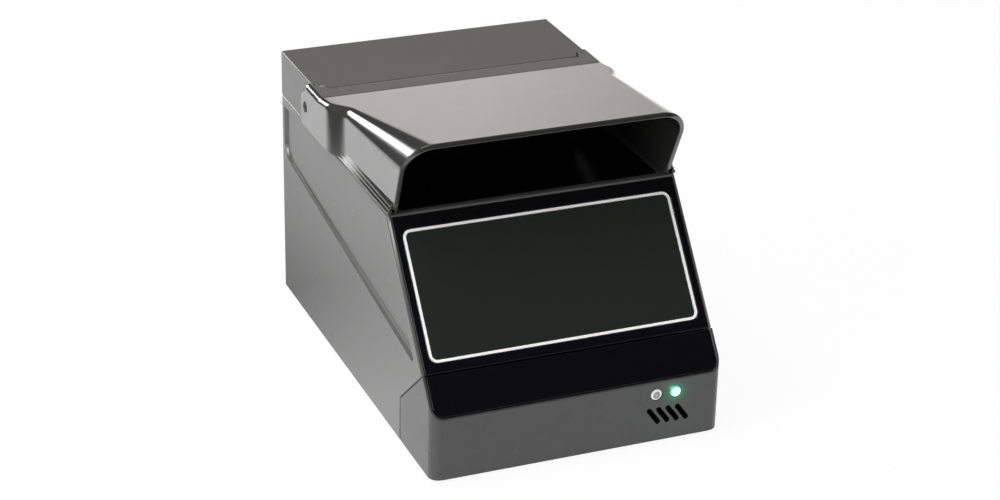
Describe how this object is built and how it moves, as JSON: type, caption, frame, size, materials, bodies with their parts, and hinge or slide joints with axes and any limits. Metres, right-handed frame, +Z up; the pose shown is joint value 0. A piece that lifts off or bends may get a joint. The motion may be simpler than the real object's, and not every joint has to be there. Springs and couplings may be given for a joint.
{
  "type": "passport reader",
  "caption": "Desk-top passport reader with a sloping scan window, a flat document deck, a slide-off light hood over it and a box-shaped camera cover behind.",
  "frame": {"origin": "middle of the footprint, on the surface that the rubber feet stand on", "axes": "+Z up, -Y towards the front panel with its lamps, +Y towards the sockets in the rear wall, +X to the right as seen from the front"},
  "size_m": [0.1454, 0.2105, 0.143],
  "materials": {
    "anthracite_plastic": "fine matt moulded plastic",
    "hood_plastic": "semi-gloss moulded plastic",
    "front_plastic": "fine matt moulded plastic",
    "gloss_black": "polished black",
    "white_inlay": "satin white",
    "window_glass": "polished dark glass",
    "clear_lens": "clear moulded lens",
    "green_lens": "green moulded lens, lit",
    "rubber": "matt rubber",
    "steel": "plain steel",
    "black_plastic": "matt black",
    "mirror": "front-silvered mirror",
    "circuit_board": "green solder mask",
    "diffuser": "opal white",
    "aluminium": "plain sheet",
    "flat_cable": "grey flat cable",
    "foam": "closed foam"
  },
  "bodies": {
    "reader": {"housing": "anthracite_plastic", "front_panel": "front_plastic", "lower_bezel": "gloss_black", "window_bezel": "gloss_black", "window_outline": "white_inlay", "scan_glass": "window_glass", "document_deck": "gloss_black", "rear_cover": "anthracite_plastic", "ready_lamp": "clear_lens", "status_lamp": "green_lens", "lamp_board": "circuit_board", "speaker": "black_plastic", "speaker_gasket": "foam", "base_plate": "black_plastic", "rubber_foot_1": "rubber", "rubber_foot_2": "rubber", "rubber_foot_3": "rubber", "rubber_foot_4": "rubber", "base_screw_1": "steel", "base_screw_2": "steel", "base_screw_3": "steel", "base_screw_4": "steel", "base_screw_5": "steel", "base_screw_6": "steel", "light_box": "black_plastic", "fold_mirror": "mirror", "mirror_carrier": "black_plastic", "camera_board": "circuit_board", "lens_holder": "black_plastic", "lens_barrel": "black_plastic", "camera_lens": "window_glass", "camera_bracket": "aluminium", "left_light_bar": "circuit_board", "right_light_bar": "circuit_board", "left_diffuser": "diffuser", "right_diffuser": "diffuser", "uv_light_bar": "circuit_board", "antenna_board": "circuit_board", "chip_reader_board": "circuit_board", "main_board": "circuit_board", "heat_sink": "aluminium", "board_screw_1": "steel", "board_screw_2": "steel", "board_screw_3": "steel", "board_screw_4": "steel", "usb_socket": "steel", "power_socket": "black_plastic", "camera_cable": "flat_cable", "front_cable": "flat_cable"},
    "light_hood": {"hood": "hood_plastic", "left_plunger": "steel", "right_plunger": "steel"}
  },
  "joints": [
    {"name": "hood_slide", "type": "slide", "parent": "reader", "child": "light_hood", "axis": [0, -1, 0], "range_m": [0, 0.17]}
  ]
}
